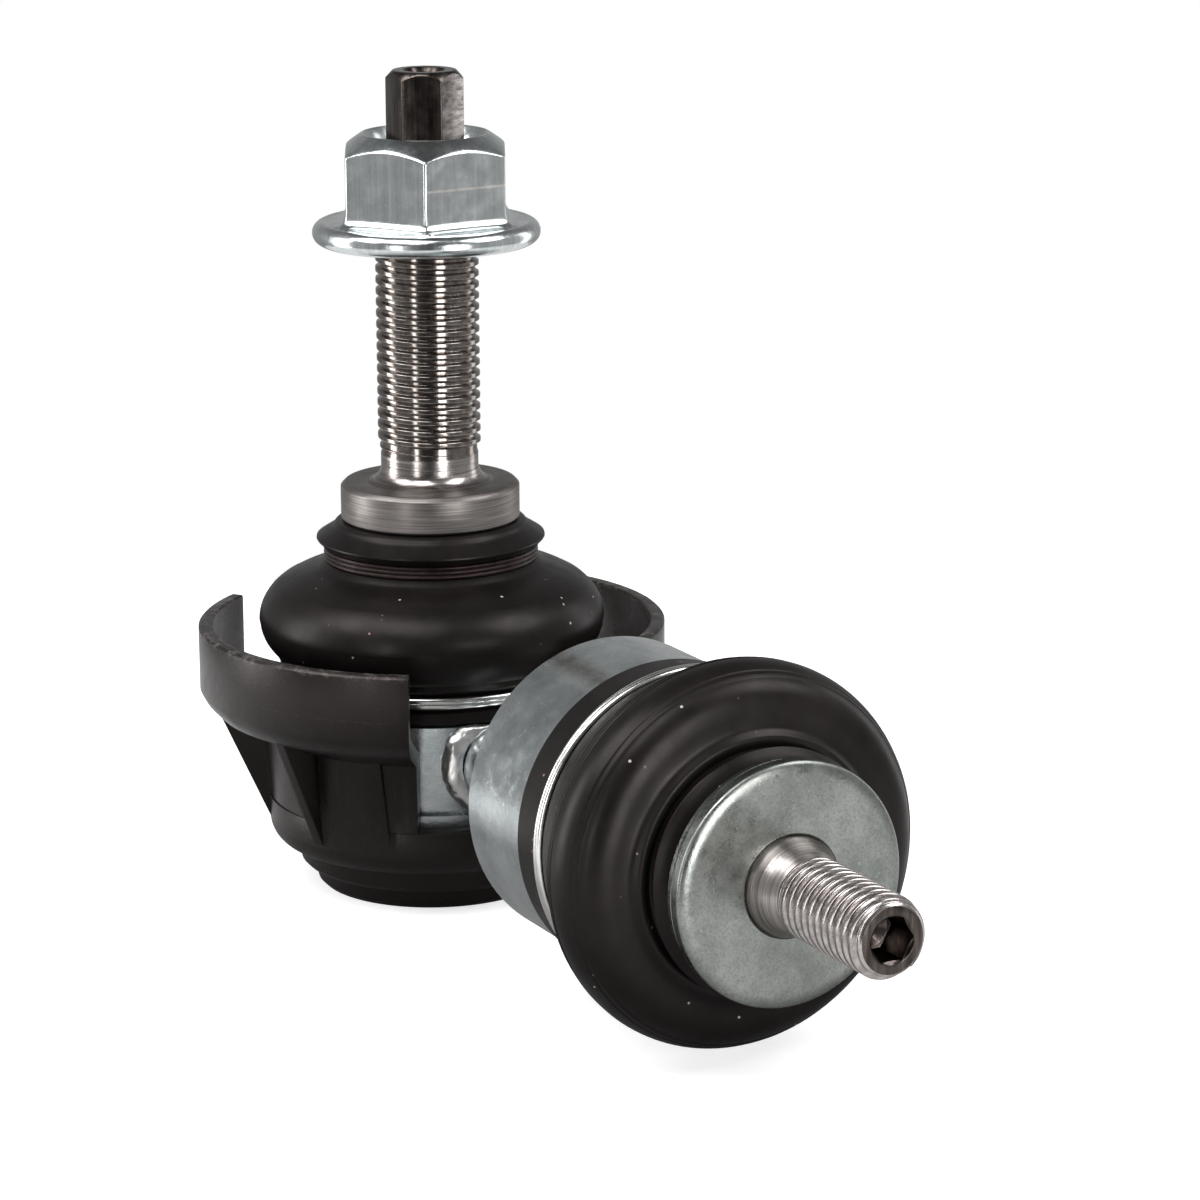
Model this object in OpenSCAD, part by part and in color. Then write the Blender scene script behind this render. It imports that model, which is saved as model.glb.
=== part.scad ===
// Anti-roll bar link: two ball joints at a right angle, joined by a short rod.
// The origin is the upright joint's ball centre. Its stud points up, and the front joint's stud points along +X.

/* [Link] */
// Distance between the two ball centres
link_length = 65; // [62:0.5:90]
// How far the rod lies below the ball centres
rod_drop = 4.9; // [3:0.1:6]
// Diameter of the rod between the housings
rod_d = 11; // [8:0.2:11]
// Width of a weld bead round the rod
weld_w = 2.2; // [1:0.1:2.6]

/* [Balls and seats] */
// Diameter of both balls
ball_d = 22; // [20.5:0.1:22.4]
// Running clearance between a ball and its seat
ball_gap = 0.05; // [0.02:0.01:0.1]
// Wall of a seat beside the ball
seat_wall = 3.2; // [2.6:0.1:3.6]
// Height of a seat's rim above the ball centre
seat_rim = 6; // [5:0.1:6.2]
// Diameter of a stud's neck above its ball
neck_d = 11.6; // [9:0.2:12]
// Swing of a stud to each side
swing = 15; // [6:1:16]

/* [Housings] */
// Outer diameter of both housings
housing_d = 39; // [38:0.1:39.8]
// Depth of the upright housing below its ball centre
housing_depth = 16.5; // [15.8:0.1:17]
// Depth of the front housing behind its ball centre
front_depth = 14.6; // [13.8:0.1:18]
// Height of the bare steel band's edge above the upright ball centre
band_edge = 0.7; // [0:0.1:1]
// Diameter of a housing's neck under the gaiter's bead
collar_d = 34.4; // [32:0.1:35]
// How far the flange at a housing's mouth stands out from its neck
flange_out = 1.1; // [0.5:0.1:1.2]
// Thickness of that flange
flange_t = 1.9; // [1:0.1:2.2]
// Thickness of the closing plate under the upright ball
cover_t = 1.8; // [1.2:0.1:2]
// Fit between seat, closing plate and housing
press_gap = 0.03; // [0.01:0.01:0.05]
// Depth of the groove that the guard snaps into
snap_depth = 1.1; // [0.6:0.1:1.3]
// Height of that groove
snap_h = 1.1; // [0.8:0.1:1.5]

/* [Gaiters] */
// Height of the upright gaiter's bead below its wire ring
bead_h = 2.2; // [1.6:0.1:3]
// Height of the front gaiter's bead
front_bead_h = 5.3; // [4:0.1:6]
// Thickness of the rubber round a housing's neck
bead_t = 2.7; // [2.4:0.1:3]
// Wire of the two-turn clamp rings
wire_d = 1.12; // [0.8:0.02:1.3]
// Outer diameter of the upright gaiter's bulge
bulge_d = 46.8; // [46:0.2:49]
// Outer diameter of the front gaiter's bulge
front_bulge_d = 48.2; // [47:0.2:50]
// How far the upright gaiter's bulge lies below the shoulder
bulge_below = 13.7; // [13.4:0.1:14]
// How far the front gaiter's bulge lies behind the collar's face
front_bulge_below = 11; // [10.8:0.1:11.4]
// Wall of the bulge
gaiter_wall = 1.7; // [1.2:0.1:2]
// Diameter of the gaiter's neck under its lip
gaiter_neck_d = 28.8; // [28:0.1:29.4]
// Diameter of the thin lip
lip_d = 30.8; // [30:0.1:34]
// Gap between a gaiter and what it grips
grip_gap = 0.08; // [0.04:0.01:0.12]
// Height of the ring in the gaiter's neck
neck_ring_h = 1.8; // [1.2:0.1:2]
// Thickness of that ring
neck_ring_t = 0.9; // [0.5:0.1:1]

/* [Upright stud and nut] */
// Diameter of the upright thread
thread_d = 13.8; // [13:0.1:14.2]
// Height of the shoulder's underside above the ball centre
shoulder_z = 24.7; // [24:0.1:28]
// Thickness of the shoulder
shoulder_h = 5.1; // [4:0.1:6]
// Diameter of the shoulder
shoulder_d = 24.1; // [22.4:0.1:25]
// Diameter of the seat that a gaiter's neck grips
grip_d = 21; // [19:0.2:22]
// Plain length between the shoulder and the thread
plain_h = 4.3; // [3.6:0.1:6]
// Diameter of that plain length
plain_d = 13.1; // [12.6:0.1:13.6]
// Height of the thread's end above the ball centre
thread_end = 75.4; // [74:0.2:76]
// Width of the hexagon drive across its flats
drive_af = 9; // [8:0.5:10]
// Height of the drive's end above the ball centre
stud_top = 85; // [82:0.5:90]
// Height of the nut's bearing face above the ball centre
nut_z = 62; // [40:0.5:62.5]
// Height of the nut
nut_h = 14.8; // [13:0.1:15.2]
// Width of the nut across its flats
nut_af = 21; // [19:0.5:22]
// Diameter of the nut's flange
nut_flange_d = 30.4; // [28:0.2:32]
// Turn of the nut about the stud
nut_turn = -26; // [-30:1:30]
// Running clearance between nut and thread
nut_gap = 0.05; // [0.02:0.01:0.1]

/* [Front stud and washer] */
// Diameter of the front thread
front_thread_d = 10; // [9:0.1:10.4]
// Distance of the collar's face from the front ball centre
collar_x = 28.6; // [28.4:0.1:32]
// Diameter of the stud where it passes the washer
root_d = 12.2; // [11.4:0.1:13]
// Thickness of the washer
washer_t = 3.4; // [2.4:0.1:4]
// Diameter of the washer
washer_d = 30.1; // [26:0.1:32]
// Clearance between the washer and the stud
washer_gap = 0.05; // [0.02:0.01:0.1]
// Length of the front stud beyond the washer
front_end = 22.4; // [16:0.1:30]
// Width of the socket across its flats
socket_af = 5; // [4:0.5:6]
// Depth of the socket
socket_depth = 5; // [3:0.5:7]

/* [Guard] */
// Outer diameter of the guard's rim band
guard_d = 63.2; // [62:0.2:68]
// Wall of the rim band
guard_wall = 1.9; // [1.5:0.1:2.2]
// Height of the rim above the ball centre
rim_z = 10.6; // [9:0.2:12]
// Height of the rim band
rim_h = 9.1; // [7:0.1:10]
// Outer diameter of the guard's bowl
bowl_d = 45; // [44:0.1:46]
// How much further out the bowl's wall stands at its top
wall_flare = 0.7; // [0.2:0.1:1]
// Height of a pad above the top of that wall
pad_h = 0.8; // [0.4:0.1:1.2]
// Half angle of the front window, seen from above
window_half = 31.2; // [26:0.2:38]
// Half angle of the rear window
rear_half = 36.4; // [26:0.2:38]
// Height of the window sills, counted from the ball centre
sill_z = -13.3; // [-14:0.1:-12.8]
// Height of the bowl's underside, counted from the ball centre
bowl_z = -19.8; // [-21:0.1:-19]
// Thickness of the ribs
rib_t = 1.6; // [1:0.1:2]
// Angle of a rib from the middle of its wall
rib_angle = 21; // [16:1:26]
// Diameter of the upper base ring
ring_d = 36.7; // [34:0.1:38]
// Diameter of the lower base ring
foot_d = 32.2; // [28:0.2:33]
// Height of each base ring
ring_h = 3; // [2:0.1:4]
// Gap between the guard and the housing
guard_gap = 0.1; // [0.05:0.01:0.2]

/* [Hidden] */
$fn = 96;

arc_steps = 12;
ball_r = ball_d / 2;
neck_r = neck_d / 2;
seat_r = ball_r + ball_gap + seat_wall;
chamber_r = seat_r + press_gap;
housing_r = housing_d / 2;
collar_r = collar_d / 2;
flange_r = collar_r + flange_out;
tilt = acos(cos(swing) * cos(swing));
mouth_gap = 0.5;
bead_r = collar_r + grip_gap + bead_t;
clamp_r = bead_r - 0.4;
wires_h = 2 * wire_d + 0.06;
grip_r = grip_d / 2;
edge = 0.6;
cover_r = chamber_r + 1.8;
cover_top = -ball_r - 2.3;
ring_below = 5.5;
front_ring_below = 4.5;
snap_top = band_edge - 11.3;
guard_r = guard_d / 2;
bowl_r = bowl_d / 2;
bowl_in = housing_r + guard_gap;
shelf_drop = 5.3;
under_r = 2.1;
under_h = 2.4;
wall_top = rim_z - rim_h - shelf_drop;
nut_r = thread_d / 2 + nut_gap;
front_neck_top = front_bead_h + wires_h;
upright_neck_top = band_edge + bead_h + wires_h;

zinc = [0.66, 0.70, 0.71];
bare_steel = [0.36, 0.34, 0.33];
rubber_black = [0.10, 0.10, 0.10];
moulded_black = [0.15, 0.145, 0.14];

// Points of an arc about [cx, cy], from angle a to angle b. It is rx wide and ry high
function oval_arc(cx, cy, rx, ry, a, b) =
    [for (i = [0:arc_steps]) [cx + rx * cos(a + (b - a) * i / arc_steps), cy + ry * sin(a + (b - a) * i / arc_steps)]];
function arc(cx, cy, r, a, b) = oval_arc(cx, cy, r, r, a, b);

// Radius that the swinging neck sweeps at height h above the ball centre
function swept(h) = neck_r / cos(tilt) + h * tan(tilt) + mouth_gap;

// Places a piece of the front joint, whose own axis is Z, along +X
module front() {
    translate([link_length, 0, 0])
        rotate([0, 90, 0])
            children();
}

// Half section of a housing: steel band, neck under the gaiter's bead, flange, and a mouth for the swing
module housing_section(bottom, band_top, neck_top, floor_z) {
    top = neck_top + flange_t;
    lip_z = seat_rim + press_gap;
    mouth_r = max(swept(lip_z), sqrt(pow(ball_r + mouth_gap, 2) - pow(seat_rim, 2)));
    polygon(concat(
        [[0, bottom], [housing_r - edge, bottom], [housing_r, bottom + edge], [housing_r, band_top - edge / 2],
         [housing_r - edge / 2, band_top], [collar_r, band_top], [collar_r, neck_top], [flange_r, neck_top]],
        arc(flange_r - edge, top - edge, edge, 0, 90),
        [[max(swept(top), mouth_r) + edge / 2, top], [mouth_r, lip_z], [chamber_r, lip_z], [chamber_r, floor_z],
         [0, floor_z]]));
}

module angle_housing() {
    pocket_z = cover_top - cover_t - press_gap;
    color(zinc)
        difference() {
            rotate_extrude()
                housing_section(-housing_depth, band_edge, upright_neck_top, pocket_z);
            // Pocket for the closing plate, and the rolled edge under it
            translate([0, 0, pocket_z])
                cylinder(r = cover_r + press_gap, h = cover_t + press_gap);
            translate([0, 0, -housing_depth - 1])
                cylinder(r = cover_r - 1.5, h = housing_depth + 1.5 + pocket_z);
            // Groove for the guard's snap beads
            translate([0, 0, snap_top - snap_h])
                difference() {
                    cylinder(r = housing_r + 1, h = snap_h);
                    translate([0, 0, -1])
                        cylinder(r = housing_r - snap_depth, h = snap_h + 2);
                }
        }
}

module angle_cover() {
    color(zinc)
        translate([0, 0, cover_top - cover_t])
            cylinder(r = cover_r, h = cover_t);
}

// Plastic cup whose round bore holds the ball above its widest part
module ball_seat(bottom) {
    difference() {
        translate([0, 0, bottom])
            cylinder(r = seat_r, h = seat_rim - bottom);
        sphere(r = ball_r + ball_gap);
    }
}

module angle_seat() {
    color("ivory")
        ball_seat(cover_top + press_gap);
}

module axial_seat() {
    color("ivory")
        front()
            ball_seat(-ball_r - 1);
}

// Ball, neck and the seat that the gaiter's neck grips, up to the stud's collar at height top
module ball_and_neck(top) {
    sphere(r = ball_r);
    rotate_extrude()
        polygon([[0, 0], [neck_r, 0], [neck_r, top - 10.2], [grip_r, top - 7.4], [grip_r, top], [0, top]]);
}

module angle_stud() {
    shoulder_top = shoulder_z + shoulder_h;
    plain_r = plain_d / 2;
    flare = 2.4;
    thread_r = thread_d / 2;
    lead = 0.9;
    drive_r = drive_af / 2 / cos(30);
    dimple_r = 2.9;
    color(bare_steel) {
        difference() {
            union() {
                ball_and_neck(shoulder_z);
                rotate_extrude()
                    polygon(concat(
                        [[0, shoulder_z], [shoulder_d / 2 - edge / 2, shoulder_z],
                         [shoulder_d / 2, shoulder_z + edge / 2], [shoulder_d / 2, shoulder_top - edge],
                         [shoulder_d / 2 - edge, shoulder_top]],
                        arc(plain_r + flare, shoulder_top + flare, flare, 270, 180),
                        [[plain_r, shoulder_top + plain_h - 0.4], [thread_r, shoulder_top + plain_h],
                         [thread_r, thread_end - lead], [thread_r - lead, thread_end], [0, thread_end]]));
                // Hexagon drive with a turned chamfer at its end
                intersection() {
                    translate([0, 0, thread_end - 1])
                        linear_extrude(height = stud_top - thread_end + 1)
                            circle(r = drive_r, $fn = 6);
                    rotate_extrude()
                        polygon([[0, thread_end - 1], [drive_r + 0.1, thread_end - 1],
                                 [drive_r + 0.1, stud_top - 1.2], [drive_r - 1, stud_top], [0, stud_top]]);
                }
            }
            // Centre hole in the drive's end
            rotate_extrude()
                polygon([[0, stud_top - 2.2], [0.9, stud_top - 2], [dimple_r - 0.4, stud_top - 0.5],
                         [dimple_r, stud_top + 0.1], [0, stud_top + 0.1]]);
        }
    }
}

module flange_nut() {
    corner_r = nut_af / 2 / cos(30);
    flange_r_out = nut_flange_d / 2;
    lip = 1.55;
    top = nut_z + nut_h;
    color(zinc)
        difference() {
            union() {
                intersection() {
                    translate([0, 0, nut_z + 1])
                        rotate([0, 0, nut_turn])
                            linear_extrude(height = nut_h - 1)
                                circle(r = corner_r, $fn = 6);
                    // Turned chamfer over the corners
                    rotate_extrude()
                        polygon([[0, nut_z], [corner_r + 1, nut_z],
                                 [corner_r + 1, top - (corner_r + 1 - nut_af / 2 + 0.2) * tan(40)],
                                 [nut_af / 2 - 0.2, top], [0, top]]);
                }
                // Flange with a rounded edge and a cone up to the hexagon
                rotate_extrude()
                    polygon(concat(
                        [[0, nut_z], [flange_r_out - 2.4, nut_z]],
                        arc(flange_r_out - lip, nut_z + 0.15 + lip, lip, -80, 70),
                        [[corner_r, nut_z + 4.9], [nut_af / 2 - 0.6, nut_z + 6], [0, nut_z + 6]]));
            }
            translate([0, 0, nut_z - 1])
                cylinder(r = nut_r, h = nut_h + 2);
            // Countersinks at both ends of the thread
            translate([0, 0, top - 1.5])
                cylinder(r1 = nut_r, r2 = nut_r + 1.8, h = 1.6);
            translate([0, 0, nut_z - 0.1])
                cylinder(r1 = nut_r + 0.8, r2 = nut_r, h = 0.9);
        }
}

// Closed rubber sleeve: bead on the housing's neck, groove for the wire ring, bulge, neck and thin lip.
// The bulge's section is an oval, bulge = [outer diameter, half width, half height, distance below the collar, end]
module gaiter(bottom, bead, collar_top, bulge, ring_below) {
    wire_z = bottom + bead;
    wires_top = wire_z + wires_h;
    half_w = bulge[1];
    half_h = bulge[2];
    bulge_ring = bulge[0] / 2 - half_w;
    bulge_z = collar_top - bulge[3];
    neck = gaiter_neck_d / 2;
    ring_bottom = collar_top - ring_below;
    ring_top = ring_bottom + neck_ring_h + 2 * grip_gap;
    ring_floor = neck - neck_ring_t;
    lip_z = collar_top - 2.4;
    hold = grip_r + grip_gap;
    shy = max(0.1, (bulge_z - half_h * sin(44) - wires_top) / 2.5);
    clear_r = flange_r + 0.3;
    clear_z = wires_top - 0.3;
    rotate_extrude()
        polygon(concat(
            // Outside, from the bead upwards
            [[collar_r + grip_gap, bottom + grip_gap], [bead_r - 0.3, bottom + grip_gap],
             [bead_r, bottom + 0.5], [bead_r, wire_z - 0.3], [clamp_r, wire_z], [clamp_r, wires_top],
             [bead_r + 0.5, wires_top + 0.1], [bead_r + 0.6, bulge_z - half_h * sin(44) - shy]],
            oval_arc(bulge_ring, bulge_z, half_w, half_h, -44, bulge[4]),
            [[neck + 0.5, ring_bottom - 0.4], [neck, ring_bottom], [ring_floor, ring_bottom],
             [ring_floor, ring_top], [neck, ring_top], [neck + 0.3, ring_top + 0.2],
             [lip_d / 2, lip_z - 0.3], [lip_d / 2, lip_z],
             [shoulder_d / 2 + 0.9, collar_top - 0.9], [shoulder_d / 2 + 0.7, collar_top - 0.3],
             [shoulder_d / 2 - 0.3, collar_top - grip_gap], [hold, collar_top - grip_gap]],
            // Inside, back down to the bead
            [[hold, collar_top - 6.6]],
            oval_arc(bulge_ring, bulge_z, half_w - gaiter_wall, half_h - gaiter_wall, 84, -20),
            [[clear_r, wires_top + flange_t], [clear_r, clear_z], [collar_r + grip_gap, clear_z]]));
}

// Steel ring in the groove of a gaiter's neck
module neck_ring(collar_top, ring_below) {
    bore = gaiter_neck_d / 2 - neck_ring_t + grip_gap;
    wire_r = neck_ring_h / 6;
    bottom = collar_top - ring_below + grip_gap;
    rotate_extrude()
        polygon(concat(
            [[bore, bottom + neck_ring_h], [bore, bottom]],
            arc(bore + neck_ring_t - wire_r, bottom + wire_r, wire_r, -90, 70),
            arc(bore + neck_ring_t - wire_r, bottom + 3 * wire_r, wire_r, -70, 70),
            arc(bore + neck_ring_t - wire_r, bottom + 5 * wire_r, wire_r, -70, 90)));
}

// Round wire, two turns side by side, in the groove above a gaiter's bead
module clamp_ring(wire_z) {
    wire_r = wire_d / 2;
    rotate_extrude()
        for (turn = [0:1])
            translate([clamp_r + grip_gap + wire_r, wire_z + 0.03 + wire_r + turn * (wire_d - 0.04)])
                circle(r = wire_r, $fn = 24);
}

module angle_boot() {
    color(rubber_black)
        gaiter(band_edge, bead_h, shoulder_z, [bulge_d, 8.5, 6.8, bulge_below, 51], ring_below);
}

module axial_boot() {
    color(rubber_black)
        front()
            gaiter(0, front_bead_h, collar_x, [front_bulge_d, 7.9, 6.9, front_bulge_below, 92], front_ring_below);
}

module angle_neck_ring() {
    color([0.2, 0.2, 0.2])
        neck_ring(shoulder_z, ring_below);
}

module axial_neck_ring() {
    color([0.2, 0.2, 0.2])
        front()
            neck_ring(collar_x, front_ring_below);
}

module angle_clamp_ring() {
    color([0.85, 0.85, 0.83])
        clamp_ring(band_edge + bead_h);
}

module axial_clamp_ring() {
    color([0.85, 0.85, 0.83])
        front()
            clamp_ring(front_bead_h);
}

module axial_housing() {
    color(zinc)
        front()
            rotate_extrude()
                housing_section(-front_depth, 0, front_neck_top, -ball_r - 1 - press_gap);
}

module axial_stud() {
    washer_face = collar_x + washer_t;
    end = washer_face + front_end;
    root_r = root_d / 2;
    thread_r = front_thread_d / 2;
    thread_start = washer_face + 4.6;
    lead = 0.55;
    socket_r = socket_af / 2 / cos(30);
    color(bare_steel)
        front()
            difference() {
                union() {
                    ball_and_neck(collar_x);
                    rotate_extrude()
                        polygon([[0, collar_x - 1], [root_r, collar_x - 1], [root_r, washer_face + 0.6],
                                 [root_r - 0.35, washer_face + 1.5], [thread_r - 0.25, thread_start - 0.5],
                                 [thread_r, thread_start], [thread_r, end - lead], [thread_r - lead, end],
                                 [0, end]]);
                }
                // Hexagon socket with a drilled cone at its bottom and a turned countersink
                translate([0, 0, end - socket_depth])
                    rotate([0, 0, 30])
                        linear_extrude(height = socket_depth + 1)
                            circle(r = socket_r, $fn = 6);
                translate([0, 0, end - socket_depth - 1.3])
                    cylinder(r1 = 0.1, r2 = socket_af / 2, h = 1.4);
                translate([0, 0, end - 0.4])
                    cylinder(r1 = socket_af / 2, r2 = socket_r + 0.2, h = 0.5);
            }
}

module stud_washer() {
    washer_r = washer_d / 2;
    bevel_w = 1.6;
    bevel_h = 0.7;
    hole_r = root_d / 2 + washer_gap;
    color(zinc)
        front()
            translate([0, 0, collar_x])
                rotate_extrude()
                    polygon(concat(
                        [[hole_r, 0], [washer_r - 0.5, 0], [washer_r - 0.2, 0.3], [washer_r - 0.2, 0.9],
                         [washer_r - 0.5, 1.1], [washer_r - 0.5, 1.3], [washer_r, 1.5]],
                        oval_arc(washer_r - bevel_w, washer_t - bevel_h, bevel_w, bevel_h, 0, 90),
                        [[hole_r + 0.3, washer_t], [hole_r, washer_t - 0.3]]));
}

// The rod's axis, pointing along +X
module along_rod(x) {
    translate([x, 0, -rod_drop])
        rotate([0, 90, 0])
            children();
}

module link_rod() {
    start = housing_r - 4;
    color(zinc)
        difference() {
            along_rod(start)
                cylinder(d = rod_d, h = link_length - front_depth - start);
            translate([0, 0, -housing_depth])
                cylinder(r = housing_r, h = housing_depth + band_edge);
        }
}

// Ring of weld metal round the rod, thicker than a plain fillet
module weld_ring(x) {
    along_rod(x)
        rotate_extrude()
            difference() {
                translate([rod_d / 2, 0])
                    circle(r = weld_w, $fn = 32);
                translate([-1, -weld_w - 1])
                    square([1 + rod_d / 2, 2 * weld_w + 2]);
            }
}

module angle_weld() {
    color([0.82, 0.82, 0.80])
        difference() {
            weld_ring(housing_r - 0.9);
            translate([0, 0, -housing_depth])
                cylinder(r = housing_r, h = housing_depth + band_edge + 5);
            // The gaiter's bead and the guard's sill keep the ring short above and below
            translate([0, -20, band_edge - 0.05])
                cube([40, 40, 20]);
        }
}

module axial_weld() {
    back = link_length - front_depth;
    color([0.82, 0.82, 0.80])
        difference() {
            weld_ring(back);
            translate([back, -20, -20])
                cube([20, 40, 40]);
        }
}

// Outside of the guard's bowl, from its wall down to the foot
module bowl_section() {
    round_r = 3.4;
    ring_z = bowl_z - ring_h;
    foot_z = ring_z - ring_h + 0.1;
    hollow_r = foot_d / 2 - guard_wall;
    floor_z = -housing_depth - guard_gap;
    polygon(concat(
        [[bowl_in, sill_z], [bowl_r, sill_z]],
        arc(bowl_r - round_r, bowl_z + round_r, round_r, 0, -90),
        [[ring_d / 2, bowl_z], [ring_d / 2, ring_z + edge], [ring_d / 2 - edge, ring_z], [foot_d / 2, ring_z],
         [foot_d / 2, foot_z + edge], [foot_d / 2 - edge, foot_z], [0, foot_z], [0, foot_z + guard_wall],
         [hollow_r, foot_z + guard_wall], [hollow_r, floor_z], [bowl_in, floor_z]]));
}

// Wall above the sills: bowl wall, sloping shelf and rim band
module wing_section() {
    band_z = rim_z - rim_h;
    band_in = guard_r - guard_wall;
    bead = snap_depth - 2 * guard_gap;
    wall_step = 0.28;
    polygon([
        [bowl_in, sill_z - 0.5], [bowl_r - wall_step, sill_z - 0.5], [bowl_r + wall_flare, wall_top],
        [guard_r - under_r, band_z - under_h], [guard_r - 0.7, band_z - 0.9], [guard_r, band_z + 0.4],
        [guard_r, rim_z - 0.3], [guard_r - 0.3, rim_z],
        [band_in + 0.2, rim_z], [band_in, rim_z - 0.2], [band_in, band_z + 0.3], [bowl_in, wall_top + 1],
        [bowl_in, snap_top - 0.15], [bowl_in - bead, snap_top - guard_gap - 0.35],
        [bowl_in - bead, snap_top - snap_h + 0.3], [bowl_in, snap_top - snap_h + guard_gap]]);
}

// Wedge between angles a and b, with its point on the upright axis
module wedge(a, b, r, z0, z1) {
    mid = (a + b) / 2;
    translate([0, 0, z0])
        linear_extrude(height = z1 - z0)
            polygon([[0, 0], [r * cos(a), r * sin(a)], [r * 1.5 * cos(mid), r * 1.5 * sin(mid)],
                     [r * cos(b), r * sin(b)]]);
}

// Triangular rib between the bowl and the rim band
module guard_rib() {
    band_z = rim_z - rim_h;
    rotate([90, 0, 0])
        translate([0, 0, -rib_t / 2])
            linear_extrude(height = rib_t)
                polygon([[bowl_r - 1, wall_top], [guard_r - under_r, band_z - under_h + 0.2],
                         [bowl_r - 0.2, bowl_z + 3], [bowl_r - 1, bowl_z + 3]]);
}

// Raised pad on the bowl's wall, narrower at its top. It runs up into the shelf and fades out into the bowl
module guard_pad(from, to) {
    foot = bowl_z + 3.6;
    rise = wall_top + 1.6 - foot;
    top_r = bowl_r + wall_flare + pad_h;
    half = top_r * sin((to - from) / 2);
    intersection() {
        translate([0, 0, foot])
            difference() {
                cylinder(r1 = bowl_r - 0.1, r2 = top_r, h = rise);
                translate([0, 0, -1])
                    cylinder(r = bowl_r - 1, h = rise + 2);
            }
        rotate([0, 0, (from + to) / 2])
            rotate([90, 0, 90])
                linear_extrude(height = guard_r)
                    polygon([[-half, foot - 1], [half, foot - 1], [half * 0.87, foot + rise + 1],
                             [-half * 0.87, foot + rise + 1]]);
    }
}

module guard() {
    pad_from = rib_angle + 2;
    pad_to = 90 - rear_half - 5;
    color(moulded_black)
        union() {
            rotate_extrude()
                bowl_section();
            intersection() {
                rotate_extrude()
                    wing_section();
                union() {
                    wedge(window_half, 180 - rear_half, 80, sill_z - 0.5, rim_z + 1);
                    wedge(180 + rear_half, 360 - window_half, 80, sill_z - 0.5, rim_z + 1);
                }
            }
            for (side = [90, 270])
                for (turn = [-1, 1]) {
                    rotate([0, 0, side + turn * rib_angle])
                        guard_rib();
                    guard_pad(side + turn * (pad_from + pad_to) / 2 - (pad_to - pad_from) / 2,
                              side + turn * (pad_from + pad_to) / 2 + (pad_to - pad_from) / 2);
                }
        }
}

angle_housing();
angle_cover();
angle_seat();
angle_stud();
flange_nut();
angle_boot();
angle_neck_ring();
angle_clamp_ring();
guard();
angle_weld();
link_rod();
axial_weld();
axial_housing();
axial_seat();
axial_stud();
stud_washer();
axial_boot();
axial_neck_ring();
axial_clamp_ring();
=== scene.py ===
import math

import bmesh
import bpy
from mathutils import Matrix, Vector, noise


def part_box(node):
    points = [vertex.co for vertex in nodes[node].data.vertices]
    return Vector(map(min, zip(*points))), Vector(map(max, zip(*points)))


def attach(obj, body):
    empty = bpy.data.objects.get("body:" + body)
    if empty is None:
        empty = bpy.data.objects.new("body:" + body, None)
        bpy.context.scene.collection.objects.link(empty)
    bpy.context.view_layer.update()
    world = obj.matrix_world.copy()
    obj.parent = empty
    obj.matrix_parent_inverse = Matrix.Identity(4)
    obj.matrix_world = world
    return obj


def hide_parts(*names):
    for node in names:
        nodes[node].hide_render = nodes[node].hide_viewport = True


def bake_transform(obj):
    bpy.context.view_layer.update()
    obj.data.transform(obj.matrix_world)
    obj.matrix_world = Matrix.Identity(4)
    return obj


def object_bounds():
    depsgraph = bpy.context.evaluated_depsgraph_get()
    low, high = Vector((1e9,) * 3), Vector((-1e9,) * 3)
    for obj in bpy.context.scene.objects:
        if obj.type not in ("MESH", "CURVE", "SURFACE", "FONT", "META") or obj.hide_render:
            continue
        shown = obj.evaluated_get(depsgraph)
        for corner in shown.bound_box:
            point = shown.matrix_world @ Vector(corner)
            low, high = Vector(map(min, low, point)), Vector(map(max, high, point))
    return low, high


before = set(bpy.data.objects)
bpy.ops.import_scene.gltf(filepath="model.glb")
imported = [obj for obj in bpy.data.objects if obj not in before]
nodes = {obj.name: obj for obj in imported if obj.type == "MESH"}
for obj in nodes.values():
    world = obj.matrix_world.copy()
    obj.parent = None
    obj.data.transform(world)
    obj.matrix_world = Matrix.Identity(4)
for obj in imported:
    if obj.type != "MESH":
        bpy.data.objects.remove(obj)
cad_low, cad_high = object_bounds()


# ---------------------------------------------------------------- ball housings
# Two forged steel cups with a turned band, zinc plated. They hold the seats and
# balls. The upright one is closed from below by a rolled-in plate, and a short
# rod of the same finish joins the two.

def new_material(name):
    """A material, its node tree and its shader node."""
    made = bpy.data.materials.new(name)
    made.use_nodes = True
    tree = made.node_tree
    return made, tree, tree.nodes["Principled BSDF"]


def give(tree, socket, value):
    """Links the socket to another one, or sets its value. Colours are given without alpha."""
    if isinstance(value, bpy.types.NodeSocket):
        tree.links.new(value, socket)
    elif socket.type == "RGBA":
        socket.default_value = (*value, 1)
    else:
        socket.default_value = value


def put(tree, node, **sockets):
    """Sets or links several inputs of a node, each named with _ for a space."""
    for key, value in sockets.items():
        give(tree, node.inputs[key.replace("_", " ")], value)


def add(tree, kind, **sockets):
    node = tree.nodes.new(kind)
    put(tree, node, **sockets)
    return node


def here(tree):
    """The piece's own coordinates, in metres."""
    return tree.nodes.new("ShaderNodeTexCoord").outputs["Object"]


def ramp(tree, source, *stops):
    """A colour ramp on a 0 to 1 value. Each stop is (place, colour)."""
    node = tree.nodes.new("ShaderNodeValToRGB")
    tree.links.new(source, node.inputs[0])
    band = node.color_ramp
    while len(band.elements) < len(stops):
        band.elements.new(0.5)
    for element, (place, colour) in zip(band.elements, stops):
        element.position = place
        element.color = (*colour, 1)
    return node.outputs[0]


def grey(value):
    return (value, value, value)


def clouds(tree, scale, detail=4.0, roughness=0.55):
    """Soft noise, scale in features a metre."""
    cloud = add(tree, "ShaderNodeTexNoise", Vector=here(tree),
                Scale=scale, Detail=detail, Roughness=roughness)
    return cloud.outputs["Fac"]


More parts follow.
